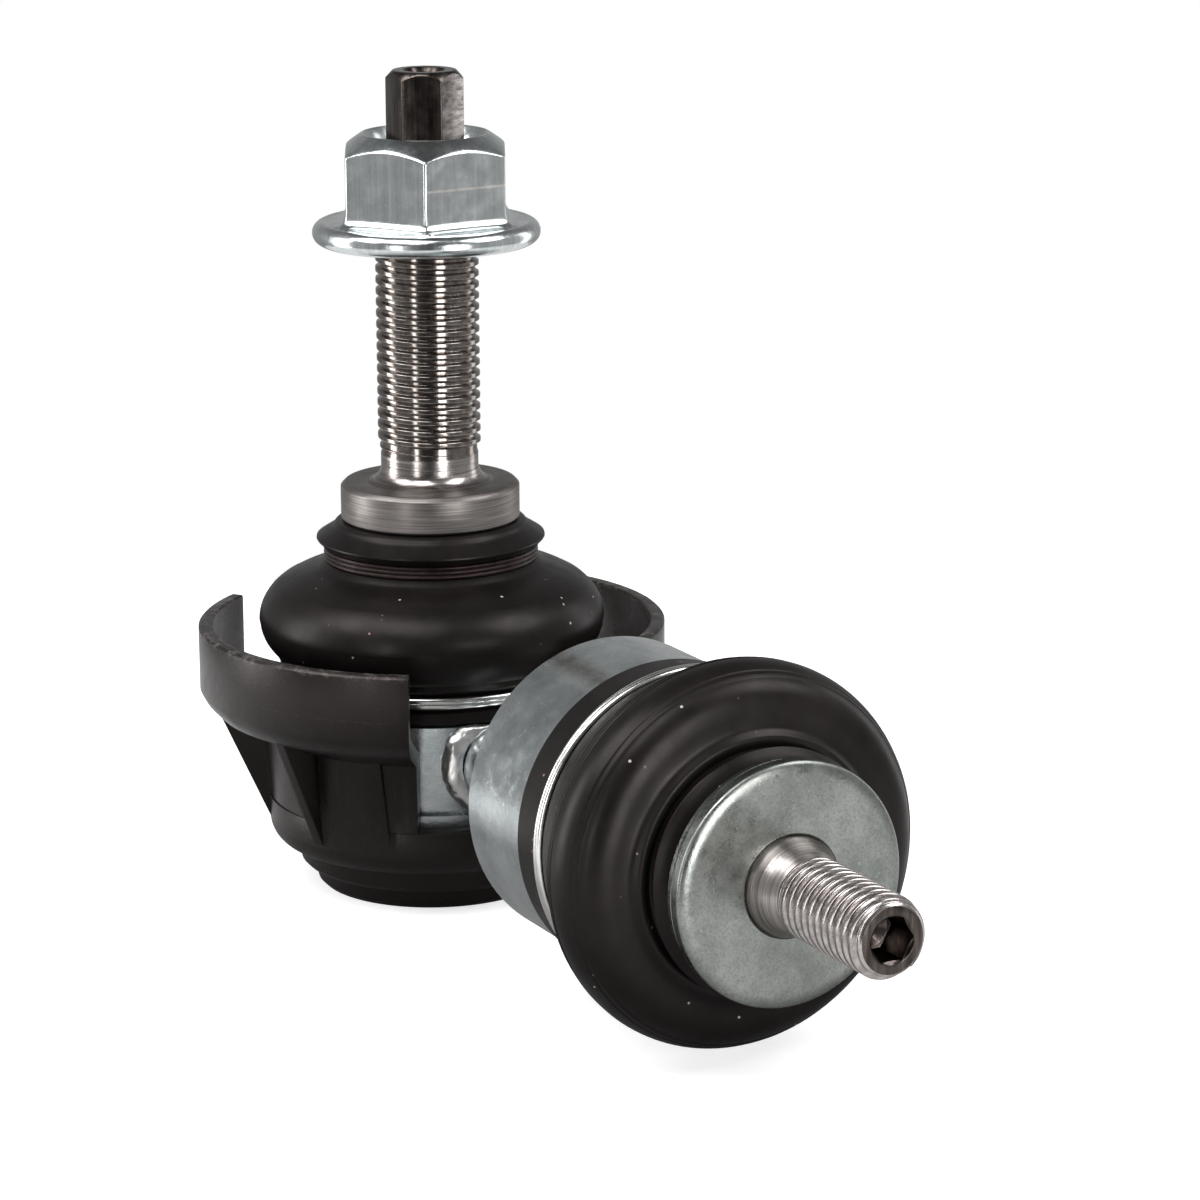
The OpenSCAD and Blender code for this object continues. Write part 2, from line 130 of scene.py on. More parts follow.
def mixed(tree, factor, first, second, blend="MIX"):
    node = tree.nodes.new("ShaderNodeMix")
    node.data_type = "RGBA"
    node.blend_type = blend
    # Inputs 0, 6 and 7 are the colour mix's factor and its two colours
    for place, value in ((0, factor), (6, first), (7, second)):
        give(tree, node.inputs[place], value)
    return node.outputs[2]


def bump(tree, shader, source, strength, distance):
    node = add(tree, "ShaderNodeBump", Height=source, Strength=strength, Distance=distance)
    put(tree, shader, Normal=node.outputs["Normal"])


def zinc_plate(name, dark, light, rough_low, rough_high):
    """Plating mottled from dark to light, with fine brighter crystals."""
    made, tree, shader = new_material(name)
    patches = ramp(tree, clouds(tree, 160, 6, 0.62), (0.36, dark), (0.62, light))
    crystals = ramp(tree, clouds(tree, 1500, 3, 0.7), (0.6, grey(0)), (0.74, grey(1)))
    bright = [min(1, c * 1.25) for c in light]
    put(tree, shader, Metallic=1, Base_Color=mixed(tree, crystals, patches, bright),
        Roughness=ramp(tree, clouds(tree, 420, 5, 0.6), (0.35, grey(rough_low)), (0.66, grey(rough_high))))
    bump(tree, shader, clouds(tree, 1100, 5, 0.7), 0.32, 0.0001)
    return made


def finish_node(name, material):
    """Gives a CAD node that shows as it is its material."""
    shown = nodes[name]
    shown.data.materials.clear()
    shown.data.materials.append(material)


housing_zinc = zinc_plate("housing_zinc", (0.46, 0.50, 0.51), (0.64, 0.68, 0.685), 0.15, 0.27)
for name in ("angle_housing", "axial_housing", "angle_cover", "link_rod"):
    finish_node(name, housing_zinc)


# ------------------------------------------------------------------- weld beads
# Two beads of weld metal join the rod to the housings. Each is laid by hand, so
# it is lumpy, and it is brighter than the plated steel.

def new_object(name, data):
    piece = bpy.data.objects.new(name, data)
    bpy.context.scene.collection.objects.link(piece)
    return piece


def reworked(mesh, work):
    """Opens the mesh, does the work on it and writes it back."""
    made = bmesh.new()
    made.from_mesh(mesh)
    work(made)
    made.to_mesh(mesh)
    made.free()


def copy_of(node, name):
    """A merged copy of a CAD node's mesh, as a new object."""
    piece = new_object(name, nodes[node].data.copy())
    piece.data.materials.clear()
    reworked(piece.data, lambda made: bmesh.ops.remove_doubles(made, verts=made.verts, dist=2e-6))
    return piece


def plain_mesh(piece):
    """Turns the object's modifiers into plain mesh."""
    graph = bpy.context.evaluated_depsgraph_get()
    mesh = bpy.data.meshes.new_from_object(piece.evaluated_get(graph))
    piece.modifiers.clear()
    piece.data = mesh


def lumpy(made):
    """Raises lumps up to about 0.3 mm high, 2.4 mm and 0.8 mm apart, and softens them once."""
    made.normal_update()
    for vertex in made.verts:
        wave = noise.noise(vertex.co * 420) + 0.35 * noise.noise(vertex.co * 1300)
        vertex.co += vertex.normal * 0.00030 * wave
    bmesh.ops.smooth_vert(made, verts=made.verts, factor=0.5,
                          use_axis_x=True, use_axis_y=True, use_axis_z=True)


weld_metal, tree, shader = new_material("weld_metal")
put(tree, shader, Metallic=1, Roughness=0.33,
    Base_Color=ramp(tree, clouds(tree, 700, 5, 0.6), (0.3, (0.78, 0.77, 0.75)), (0.6, (0.97, 0.97, 0.95))))

for node in ("angle_weld", "axial_weld"):
    bead = copy_of(node, node + "_bead")
    remesh = bead.modifiers.new("even", "REMESH")
    remesh.mode = "VOXEL"
    remesh.voxel_size = 0.00022
    plain_mesh(bead)
    reworked(bead.data, lumpy)
    bead.data.shade_smooth()
    bead.data.materials.append(weld_metal)
    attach(bead, "link")
    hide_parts(node)


# --------------------------------------------------------------------- ball seats
# Moulded acetal cups between ball and housing. They are out of sight, and cream
# coloured like the raw plastic.

seat_plastic, tree, shader = new_material("seat_plastic")
put(tree, shader, Roughness=0.4,
    Base_Color=ramp(tree, clouds(tree, 90), (0.3, (0.78, 0.75, 0.64)), (0.7, (0.84, 0.82, 0.73))))
for name in ("angle_seat", "axial_seat"):
    finish_node(name, seat_plastic)


# -------------------------------------------------------------------- ball studs
# Each stud is one turning: ball, neck, shoulder and shank, with a rolled metric
# thread. The upright one ends in a hexagon drive, the front one in a socket.

def streaks(tree, x, y, z, detail=2.0):
    """Noise drawn out along the axes with small scales, such as tool marks."""
    stretch = add(tree, "ShaderNodeMapping", Vector=here(tree), Scale=(x, y, z))
    lines = add(tree, "ShaderNodeTexNoise", Vector=stretch.outputs["Vector"],
                Scale=1.0, Detail=detail, Roughness=0.6)
    return lines.outputs["Fac"]


def turned_steel(name, dark, light, rough, marks):
    """Bare steel with fine tool marks; marks are the noise scales along X, Y and Z."""
    made, tree, shader = new_material(name)
    lines = streaks(tree, *marks)
    bright = [min(1, c * 1.5) for c in light]
    patches = clouds(tree, 500, 4, 0.6)
    put(tree, shader, Metallic=1,
        Base_Color=ramp(tree, lines, (0.30, dark), (0.55, light), (0.74, bright)),
        Roughness=ramp(tree, patches, (0.3, grey(rough - 0.04)), (0.7, grey(rough + 0.07))))
    bump(tree, shader, lines, 0.22, 0.00004)
    return made


def rolled_steel(name, dark, light, rough):
    """Steel of the ridges, burnished by the rolling dies."""
    made, tree, shader = new_material(name)
    put(tree, shader, Metallic=1, Roughness=rough,
        Base_Color=ramp(tree, clouds(tree, 900, 4, 0.65), (0.35, dark), (0.65, light)))
    return made


rings_about_z, rings_about_x = (90, 90, 5200), (5200, 90, 90)
upright_steel = turned_steel("upright_steel", (0.136, 0.121, 0.115), (0.223, 0.205, 0.195),
                             0.40, rings_about_z)
# A lighter copy of the drive's steel, for the one flat that faces the light: a painted highlight
rubbed_steel = turned_steel("rubbed_steel", (0.14, 0.122, 0.118), (0.36, 0.325, 0.315),
                            0.28, (500, 500, 1900))
shank_steel = turned_steel("shank_steel", (0.22, 0.195, 0.185), (0.38, 0.35, 0.335),
                           0.22, rings_about_z)
front_steel = turned_steel("front_steel", (0.22, 0.195, 0.186), (0.40, 0.37, 0.355),
                           0.30, rings_about_x)
drive_steel = turned_steel("drive_steel", (0.040, 0.032, 0.029), (0.095, 0.080, 0.074),
                           0.22, (1500, 1500, 120))
thread_steel = rolled_steel("thread_steel", (0.16, 0.139, 0.128), (0.30, 0.274, 0.255), 0.15)
front_thread_steel = rolled_steel("front_thread_steel", (0.34, 0.310, 0.300), (0.58, 0.540, 0.525), 0.24)


def maths(tree, operation, first, second=0):
    node = tree.nodes.new("ShaderNodeMath")
    node.operation = operation
    give(tree, node.inputs[0], first)
    give(tree, node.inputs[1], second)
    return node.outputs[0]


def sweep_tree(name, *labels):
    """A Geometry Nodes tree with number inputs and a Steel material, and its input sockets."""
    tree = bpy.data.node_groups.new(name, "GeometryNodeTree")
    for label in labels:
        tree.interface.new_socket(label, in_out="INPUT", socket_type="NodeSocketFloat")
    tree.interface.new_socket("Steel", in_out="INPUT", socket_type="NodeSocketMaterial")
    tree.interface.new_socket("Geometry", in_out="OUTPUT", socket_type="NodeSocketGeometry")
    return tree, tree.nodes.new("NodeGroupInput").outputs


def swept(tree, steel, **curves):
    """Ends the tree: sweeps a section along a curve, as real mesh in the given steel."""
    tube = add(tree, "GeometryNodeCurveToMesh", Fill_Caps=True, **curves)
    real = add(tree, "GeometryNodeRealizeInstances", Geometry=tube.outputs["Mesh"])
    coated = add(tree, "GeometryNodeSetMaterial", Geometry=real.outputs["Geometry"], Material=steel)
    add(tree, "NodeGroupOutput", Geometry=coated.outputs["Geometry"])
    return tree


def thread_tree():
    """A helical ridge along +Z from the origin, which tapers off at both ends."""
    tree, given = sweep_tree("rolled_thread", "Turns", "Pitch", "Root radius", "Depth")
    helix = add(tree, "GeometryNodeCurveSpiral", Resolution=72, Rotations=given["Turns"],
                Start_Radius=given["Root radius"], End_Radius=given["Root radius"],
                Height=maths(tree, "MULTIPLY", given["Turns"], given["Pitch"]))
    upright = add(tree, "GeometryNodeSetCurveNormal", Curve=helix.outputs["Curve"])
    upright.mode = "Z_UP"

    # The ridge rises over the first 0.6 of a turn and sinks over the last 0.6
    along = tree.nodes.new("GeometryNodeSplineParameter").outputs["Factor"]
    ends = maths(tree, "MINIMUM", along, maths(tree, "SUBTRACT", 1, along))
    rise = maths(tree, "MULTIPLY", maths(tree, "MULTIPLY", ends, given["Turns"]), 1.6)
    rise = maths(tree, "MAXIMUM", maths(tree, "MINIMUM", rise, 1), 0.15)

    # Section of the ridge: one wave of the thread, from root to a broader crest to root
    corners = 20
    section = add(tree, "GeometryNodeCurvePrimitiveCircle", Resolution=corners)
    corner = tree.nodes.new("GeometryNodeInputIndex").outputs["Index"]
    share = maths(tree, "DIVIDE", corner, corners - 1)
    wave = maths(tree, "COSINE", maths(tree, "MULTIPLY", share, 2 * math.pi))
    wave = maths(tree, "MULTIPLY", wave, 1.6)
    wave = maths(tree, "MINIMUM", maths(tree, "ADD", wave, -0.3), 1)
    wave = maths(tree, "SUBTRACT", maths(tree, "MAXIMUM", wave, -1), 1)
    out = maths(tree, "MULTIPLY", maths(tree, "MULTIPLY", wave, 0.5), given["Depth"])
    up = maths(tree, "MULTIPLY", maths(tree, "SUBTRACT", 0.5, share), given["Pitch"])
    place = add(tree, "ShaderNodeCombineXYZ", X=out, Y=up)
    ridge = add(tree, "GeometryNodeSetPosition", Geometry=section.outputs["Curve"],
                Position=place.outputs["Vector"])
    return swept(tree, given["Steel"], Curve=upright.outputs["Curve"],
                 Profile_Curve=ridge.outputs["Geometry"], Scale=rise)


rolled_thread = thread_tree()


def recalculated(mesh):
    """Merges doubled points and turns all faces outwards."""
    def work(made):
        bmesh.ops.remove_doubles(made, verts=made.verts, dist=1e-6)
        bmesh.ops.recalc_face_normals(made, faces=made.faces)
    reworked(mesh, work)


def made_by(tree, name, **inputs):
    """A mesh made by a Geometry Nodes tree with the given named inputs."""
    piece = new_object(name, bpy.data.meshes.new(name))
    live = piece.modifiers.new("made", "NODES")
    live.node_group = tree
    for socket in tree.interface.items_tree:
        key = socket.name.replace(" ", "_")
        if socket.in_out == "INPUT" and key in inputs:
            live[socket.identifier] = inputs[key]
    plain_mesh(piece)
    recalculated(piece.data)
    return piece


def join(name, *pieces):
    """One object from several, with the first one's materials first."""
    made = bmesh.new()
    materials = []
    for piece in pieces:
        start = len(made.faces)
        slots = list(piece.data.materials)
        made.from_mesh(piece.data)
        made.faces.ensure_lookup_table()
        for face in made.faces[start:]:
            material = slots[face.material_index]
            if material not in materials:
                materials.append(material)
            face.material_index = materials.index(material)
    mesh = bpy.data.meshes.new(name)
    made.to_mesh(mesh)
    made.free()
    for material in materials:
        mesh.materials.append(material)
    for piece in pieces:
        bpy.data.objects.remove(piece)
    return new_object(name, mesh)


def smooth(piece, angle=32):
    piece.data.shade_smooth()
    piece.data.set_sharp_from_angle(angle=math.radians(angle))


def eased(piece, width, angle):
    """Rounds the edges sharper than the angle by a small width in metres."""
    reworked(piece.data, lambda made: bmesh.ops.dissolve_limit(
        made, angle_limit=math.radians(1), verts=made.verts, edges=made.edges))
    rounding = piece.modifiers.new("eased edges", "BEVEL")
    rounding.width = width
    rounding.segments = 2
    rounding.limit_method = "ANGLE"
    rounding.angle_limit = math.radians(angle)
    rounding.use_clamp_overlap = True
    plain_mesh(piece)


# The front joint's axis is +X through its ball's centre
to_front = Matrix.Translation((0.065, 0, 0)) @ Matrix.Rotation(math.radians(90), 4, "Y")
pitch = 0.0015

# Upright stud, M14 x 1.5. The CAD's plain thread cylinder is drawn in to the root, a
# hundredth of a millimetre outside the ridge's own root, and so is the drive's foot, to 5.7 mm.
# Heights and radii are in metres.
root_gap = 0.00001
upright_root, thread_foot, thread_end, drive_foot = 0.00640, 0.0339, 0.0749, 0.0756
upright = copy_of("angle_stud", "upright_stud_body")
finishes = (upright_steel, drive_steel, thread_steel, shank_steel, rubbed_steel)
for finish in finishes:
    upright.data.materials.append(finish)
for vertex in upright.data.vertices:
    radius = math.hypot(vertex.co.x, vertex.co.y)
    if thread_foot < vertex.co.z < thread_end and radius > 0.0066:
        vertex.co.xy *= (upright_root + root_gap) / radius
    elif thread_end < vertex.co.z < drive_foot and radius > 0.0056:
        vertex.co.xy *= 0.0057 / radius
eased(upright, 0.0002, 25)
# Heights at which one finish follows another. One flat of the drive gets a lighter steel: a painted
# highlight, on the side where the light falls.
shank_start, thread_start, drive_start = 0.0301, 0.0337, 0.0755
# The drive's flat that faces 30 degrees from +X carries the painted highlight
painted_highlight_flat = Vector((math.cos(math.radians(30)), math.sin(math.radians(30)), 0))
for face in upright.data.polygons:
    height = face.center.z
    if height > drive_start:
        finish = rubbed_steel if face.normal.dot(painted_highlight_flat) > 0.97 else drive_steel
        face.material_index = finishes.index(finish)
    elif height > shank_start:
        face.material_index = finishes.index(thread_steel if height > thread_start else shank_steel)
ridge = made_by(rolled_thread, "upright_thread", Turns=27.3, Pitch=pitch, Root_radius=upright_root,
                Depth=0.00050, Steel=thread_steel)
ridge.data.transform(Matrix.Translation((0, 0, 0.0342)))
stud = join("upright_ball_stud", upright, ridge)
smooth(stud)
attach(stud, "upright_stud")
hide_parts("angle_stud")

# Front stud, M10 x 1.5, made the same way along +X. Its end face and socket are dark.
front_root, thread_foot, thread_end, end_face = 0.00435, 0.1010, 0.1192, 0.11935
socket_floor, socket_radius = 0.1135, 0.0035
front = copy_of("axial_stud", "front_stud_body")
finishes = (front_steel, drive_steel, front_thread_steel)
for finish in finishes:
    front.data.materials.append(finish)
for vertex in front.data.vertices:
    radius = math.hypot(vertex.co.y, vertex.co.z)
    if thread_foot < vertex.co.x < thread_end and radius > 0.0047:
        vertex.co.yz *= (front_root + root_gap) / radius
    elif vertex.co.x > thread_end and radius > 0.0042:
        vertex.co.yz *= 0.0040 / radius
eased(front, 0.00018, 25)
for face in front.data.polygons:
    radius = math.hypot(face.center.y, face.center.z)
    in_socket = face.center.x > socket_floor and radius < socket_radius
    if face.center.x > end_face or in_socket:
        face.material_index = finishes.index(drive_steel)
    elif face.center.x > thread_foot:
        face.material_index = finishes.index(front_thread_steel)
ridge = made_by(rolled_thread, "front_thread", Turns=11.9, Pitch=pitch, Root_radius=front_root,
                Depth=0.00065, Steel=front_thread_steel)
ridge.data.transform(to_front @ Matrix.Translation((0, 0, 0.0363)))
stud = join("front_ball_stud", front, ridge)
smooth(stud)
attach(stud, "front_stud")
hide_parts("axial_stud")


# ---------------------------------------------------------------------- gaiters
# Black rubber sleeves that keep dirt out of the joints. Each is moulded in one
# piece, with a bead on the housing, a bulge and a thin lip against the stud. It
# is made in two halves here, which meet on the mould line round the bulge.

rubber, tree, shader = new_material("gaiter_rubber")
soot = ramp(tree, clouds(tree, 120, 5, 0.6),
            (0.3, (0.0045, 0.0037, 0.0035)), (0.7, (0.0105, 0.0086, 0.0081)))
# Specks of dust, white and reddish, in the middle of a few of the cells
cells = add(tree, "ShaderNodeTexVoronoi", Vector=here(tree), Scale=560)
near = ramp(tree, cells.outputs["Distance"], (0.07, grey(1)), (0.12, grey(0)))
some = ramp(tree, cells.outputs["Color"], (0.70, grey(0)), (0.74, grey(1)))
dust = mixed(tree, 1, near, some, "MULTIPLY")
tint = ramp(tree, clouds(tree, 900, 1), (0.45, (0.50, 0.47, 0.45)), (0.60, (0.30, 0.12, 0.09)))
put(tree, shader, Base_Color=mixed(tree, dust, soot, tint), IOR=1.30, Specular_Tint=(1, 0.93, 0.90),
    Roughness=ramp(tree, clouds(tree, 300, 4, 0.6), (0.3, grey(0.30)), (0.7, grey(0.42))))
bump(tree, shader, clouds(tree, 1400, 3, 0.6), 0.14, 0.00006)


def oval(centre_r, centre_z, half_w, half_h, start, end, steps=40, folds=()):
    """Points of an oval arc; folds are the angles at which a fine ridge stands out of it."""
    found = []
    for i in range(steps + 1):
        place = start + (end - start) * i / steps
        angle = math.radians(place)
        out = sum(0.13 * math.exp(-((place - fold) / 1.1) ** 2) for fold in folds)
        found.append((centre_r + (half_w + out) * math.cos(angle),
                      centre_z + (half_h + out) * math.sin(angle)))
    return found


def softened(points, rounds=2):
    """Cuts the corners of an open line, keeping its ends."""
    for _ in range(rounds):
        cut = [points[0]]
        for (r0, z0), (r1, z1) in zip(points, points[1:]):
            cut.append((0.75 * r0 + 0.25 * r1, 0.75 * z0 + 0.25 * z1))
            cut.append((0.25 * r0 + 0.75 * r1, 0.25 * z0 + 0.75 * z1))
        points = cut + [points[-1]]
    return points


def ringed(name, columns, material):
    """A closed mesh of columns of points, each column joined to the next and the last to the first."""
    rows = len(columns[0])
    faces = []
    for i in range(len(columns)):
        j = (i + 1) % len(columns)
        for k in range(rows):
            m = (k + 1) % rows
            faces.append((i * rows + k, j * rows + k, j * rows + m, i * rows + m))
    mesh = bpy.data.meshes.new(name)
    mesh.from_pydata([point for column in columns for point in column], [], faces)
    mesh.materials.append(material)
    recalculated(mesh)
    return new_object(name, mesh)


def turned_by(angle, outline, foot=0.0):
    """An outline of (radius, height) in millimetres, turned about Z and raised to foot, in metres."""
    return [(r * 0.001 * math.cos(angle), r * 0.001 * math.sin(angle), foot + z * 0.001) for r, z in outline]


def uneven(piece, amount):
    """Moulded rubber is never quite round: moves each point a little along its radius."""
    for vertex in piece.data.vertices:
        wave = noise.noise(vertex.co * 90) + 0.4 * noise.noise(vertex.co * 260)
        vertex.co += vertex.co.normalized() * amount * wave


# Sections of the upright gaiter, in millimetres from the ball's centre
upright_foot = (
    [(17.3, 0.82), (19.6, 0.82), (19.95, 1.1), (19.98, 2.5), (19.6, 2.86), (19.55, 5.1), (20.3, 5.25)]
    + softened([(20.3, 5.25), (20.75, 5.6), (21.1, 6.35)])[1:]
    + oval(14.9, 11.03, 8.38, 6.75, -42, 0)
    + [(21.75, 11.03)] + oval(14.9, 11.03, 6.8, 5.1, -6, -24, 10)
    + [(18.65, 7.3), (18.65, 4.85), (17.3, 4.85)])
upright_crown = (
    oval(14.9, 11.03, 8.47, 6.78, 0, 49)
    + softened([(20.46, 16.15), (18.2, 17.35), (15.6, 18.2), (14.75, 18.95), (14.4, 19.2)], 3)[1:]
    + [(13.52, 19.2), (13.52, 21.18), (14.45, 21.2), (14.75, 21.45),
       (15.3, 21.95), (15.42, 22.15), (15.38, 22.35)]
    + softened([(15.38, 22.35), (14.2, 23.1), (13.2, 23.7), (12.85, 24.3), (12.4, 24.55), (11.75, 24.62)])[1:]
    + [(10.6, 24.62), (10.6, 18.1)] + oval(14.9, 11.03, 6.8, 5.1, 84, 0))

# The front gaiter's bulge is pushed forward and has folds round its shoulder
front_foot = (
    [(17.3, 0.1), (19.6, 0.1), (19.95, 0.4), (19.98, 4.9), (19.6, 5.26), (19.55, 7.55), (20.3, 7.7)]
    + softened([(20.3, 7.7), (20.6, 9.2), (21.0, 11.2), (22.0, 13.2)])[1:]
    + oval(16.2, 17.6, 7.74, 6.74, -37, 0, 90, (-30, -25, -15, -8))
    + [(22.4, 17.6)] + oval(16.2, 17.6, 6.2, 5.1, -6, -24, 10)
    + [(18.65, 9.6), (18.65, 7.35), (17.3, 7.35)])
front_crown = (
    oval(16.2, 17.6, 7.88, 6.85, 0, 20, 16)
    + softened([(23.6, 19.95), (23.35, 20.55), (23.2, 20.6), (22.9, 21.25), (22.72, 21.28), (22.1, 22.1),
                (21.0, 22.85), (19.6, 23.25), (18.0, 23.35), (17.0, 23.5), (16.45, 24.0), (16.1, 24.35),
                (15.3, 24.35), (14.8, 24.0), (14.4, 24.2)])[1:]
    + [(13.52, 24.2), (13.52, 26.0), (14.45, 26.05), (15.2, 26.15), (15.4, 26.4)]
    + softened([(15.4, 26.4), (14.6, 27.2), (13.4, 27.8), (12.9, 28.3), (12.4, 28.45), (11.75, 28.5)])[1:]
    + [(10.6, 28.5), (10.6, 24.4), (12.2, 23.0)] + oval(16.2, 17.6, 6.2, 5.2, 84, 0))

# Each row gives a half, the CAD node it stands for, its section, its placing, two bodies and the start
# and end of a bend on its joint's axis. The bodies and the bend are not used: each half is made in place,
# attached to no body
around = 160
turns = [2 * math.pi * i / around for i in range(around)]
unmoved = Matrix.Identity(4)
for part, node, section, place, one, other, start, end in (
        ("angle_gaiter_foot", "angle_boot", upright_foot, unmoved,
         "link", "angle_gaiter", (0, 0, 0.0055), (0, 0, 0.0108)),
        ("angle_gaiter_crown", "angle_boot", upright_crown, unmoved,
         "angle_gaiter", "angle_collar", (0, 0, 0.0112), (0, 0, 0.0185)),
        ("axial_gaiter_foot", "axial_boot", front_foot, to_front,
         "link", "axial_gaiter", (0.0735, 0, 0), (0.0824, 0, 0)),
        ("axial_gaiter_crown", "axial_boot", front_crown, to_front,
         "axial_gaiter", "axial_collar", (0.0828, 0, 0), (0.0878, 0, 0))):
    half = ringed(part, [turned_by(turn, section) for turn in turns], rubber)
    half.data.transform(place)
    uneven(half, 0.00006)
    smooth(half, 38)
    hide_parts(node)
    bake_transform(half)


# ------------------------------------------------------------------ wire clamps
# A ring of bright spring wire, wound twice round, holds each gaiter's bead on
# its housing.

clamp_wire, tree, shader = new_material("clamp_wire")
put(tree, shader, Metallic=1, Roughness=0.22,
    Base_Color=ramp(tree, clouds(tree, 500), (0.3, (0.74, 0.74, 0.72)), (0.7, (0.95, 0.95, 0.92))))


def wire_tree():
    """Round wire wound in a close coil along +Z."""
    tree, given = sweep_tree("wound_wire", "Turns", "Ring radius", "Wire radius", "Height")
    coil = add(tree, "GeometryNodeCurveSpiral", Resolution=128, Rotations=given["Turns"],
               Start_Radius=given["Ring radius"], End_Radius=given["Ring radius"], Height=given["Height"])
    section = add(tree, "GeometryNodeCurvePrimitiveCircle", Resolution=20, Radius=given["Wire radius"])
    return swept(tree, given["Steel"], Curve=coil.outputs["Curve"], Profile_Curve=section.outputs["Curve"])


wound_wire = wire_tree()
for node, bottom, place in (("angle_clamp_ring", 0.00349, unmoved), ("axial_clamp_ring", 0.00589, to_front)):
    ring = made_by(wound_wire, node + "_wire", Turns=1.94, Ring_radius=0.02022, Wire_radius=0.00055,
                   Height=0.00108, Steel=clamp_wire)
    ends_turned = Matrix.Rotation(math.radians(150), 4, "Z")
    ring.data.transform(place @ Matrix.Translation((0, 0, bottom)) @ ends_turned)
    smooth(ring, 40)
    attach(ring, "link")
    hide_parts(node)


# -------------------------------------------------------------------- neck rings
# Dark spring steel rings, one in the groove under each gaiter's lip. They hold
# the lip on the stud and follow its swing.

ring_steel, tree, shader = new_material("ring_steel")
put(tree, shader, Metallic=0.6, Roughness=0.38,
    Base_Color=ramp(tree, clouds(tree, 500), (0.3, (0.012, 0.007, 0.007)), (0.7, (0.040, 0.022, 0.021))))
for name in ("angle_neck_ring", "axial_neck_ring"):
    finish_node(name, ring_steel)


# ------------------------------------------------------------------------ guard
# Cup moulded in black plastic and snapped over the upright housing from below. It
# has two windows, ribs under its rim band and a stepped foot. Its upper edge is
# painted lighter in specks: partly wear, partly a painted highlight from the light above.

def level(tree, source, low, high):
    """A value that goes from 0 to 1 while the source goes from low to high."""
    return add(tree, "ShaderNodeMapRange", Value=source, From_Min=low, From_Max=high).outputs["Result"]


def height_level(tree, low, high):
    """The same for the height of a point on the piece, in metres."""
    return level(tree, add(tree, "ShaderNodeSeparateXYZ", Vector=here(tree)).outputs["Z"], low, high)


guard_plastic, tree, shader = new_material("guard_plastic")
black = ramp(tree, clouds(tree, 70, 6, 0.62),
             (0.32, (0.0060, 0.0050, 0.0047)), (0.7, (0.0150, 0.0126, 0.0117)))
# Painted lighter in specks along the rim's top edge, partly wear and partly a painted highlight from the
# light above, with a fine scrape lower on the band
height = height_level(tree, -0.020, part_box("guard")[1].z)
edge = ramp(tree, height, (0.975, grey(0)), (0.992, grey(0.7)))
scrape = ramp(tree, height, (0.793, grey(0)), (0.797, grey(0.4)), (0.801, grey(0)))
wear_and_highlight_specks = ramp(tree, clouds(tree, 700, 6, 0.75), (0.50, grey(0)), (0.66, grey(1)))
# Specks of wear and of painted highlight on the top edge, and the scrape
wear_and_highlight = mixed(tree, 1, mixed(tree, 1, edge, scrape, "ADD"), wear_and_highlight_specks, "MULTIPLY")
put(tree, shader, Base_Color=mixed(tree, wear_and_highlight, black, (0.16, 0.145, 0.135)),
    IOR=1.40, Specular_Tint=(1, 0.90, 0.86),
    Roughness=ramp(tree, clouds(tree, 240, 5, 0.6), (0.3, grey(0.25)), (0.7, grey(0.40))))
bump(tree, shader, clouds(tree, 2300, 4, 0.7), 0.35, 0.00008)

cup = copy_of("guard", "guard_cup")
cup.data.materials.append(guard_plastic)
eased(cup, 0.00022, 35)
smooth(cup, 35)
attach(cup, "link")
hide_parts("guard")


# ------------------------------------------------------------ washer and flange nut
# Thick pressed washer against the front collar, and a hexagon flange nut run up
# the upright thread. Both are zinc plated.

washer_zinc = zinc_plate("washer_zinc", (0.228, 0.242, 0.228), (0.338, 0.350, 0.330), 0.24, 0.36)
tree = washer_zinc.node_tree
shader = tree.nodes["Principled BSDF"]
plated = shader.inputs["Base Color"].links[0].from_socket
# A faint rust-yellow stain and dark, rubbed specks
stain = ramp(tree, clouds(tree, 75, 4, 0.6), (0.60, grey(0)), (0.74, grey(0.30)))
dark = ramp(tree, clouds(tree, 2600, 3, 0.7), (0.40, grey(0.35)), (0.52, grey(0)))
stained = mixed(tree, stain, plated, (0.30, 0.23, 0.13))
put(tree, shader, Base_Color=mixed(tree, dark, stained, (0.13, 0.145, 0.14)))
finish_node("stud_washer", washer_zinc)


def reach(tree, vector, facing):
    """How far a vector reaches in a direction."""
    node = tree.nodes.new("ShaderNodeVectorMath")
    node.operation = "DOT_PRODUCT"
    give(tree, node.inputs[0], vector)
    give(tree, node.inputs[1], facing)
    return node.outputs["Value"]


nut_zinc, tree, shader = new_material("nut_zinc")
marks = streaks(tree, 1300, 1300, 60, 3)
plate = ramp(tree, marks,
             (0.34, (0.60, 0.64, 0.65)), (0.60, (0.70, 0.74, 0.745)), (0.74, (0.90, 0.92, 0.92)))
specks = ramp(tree, clouds(tree, 2600, 2, 0.7), (0.62, grey(0)), (0.72, grey(0.7)))
# One long scratch crosses the flat that faces +X, 4 degrees towards +Y
nut_foot, nut_top = 0.062, 0.078
line = ramp(tree, height_level(tree, nut_foot, nut_top),
            (0.515, grey(0)), (0.523, grey(1)), (0.535, grey(1)), (0.543, grey(0)))
flat_side = (math.cos(math.radians(4)), math.sin(math.radians(4)), 0)
on_flat = level(tree, reach(tree, here(tree), flat_side), 0.01035, 0.01045)
scratch = mixed(tree, 1, line, on_flat, "MULTIPLY")
speckled = mixed(tree, specks, plate, (0.88, 0.90, 0.90))
put(tree, shader, Metallic=1, Base_Color=mixed(tree, scratch, speckled, (0.97, 0.95, 0.90)),
    Roughness=ramp(tree, clouds(tree, 420, 5, 0.6), (0.35, grey(0.15)), (0.66, grey(0.26))))
bump(tree, shader, marks, 0.2, 0.00005)


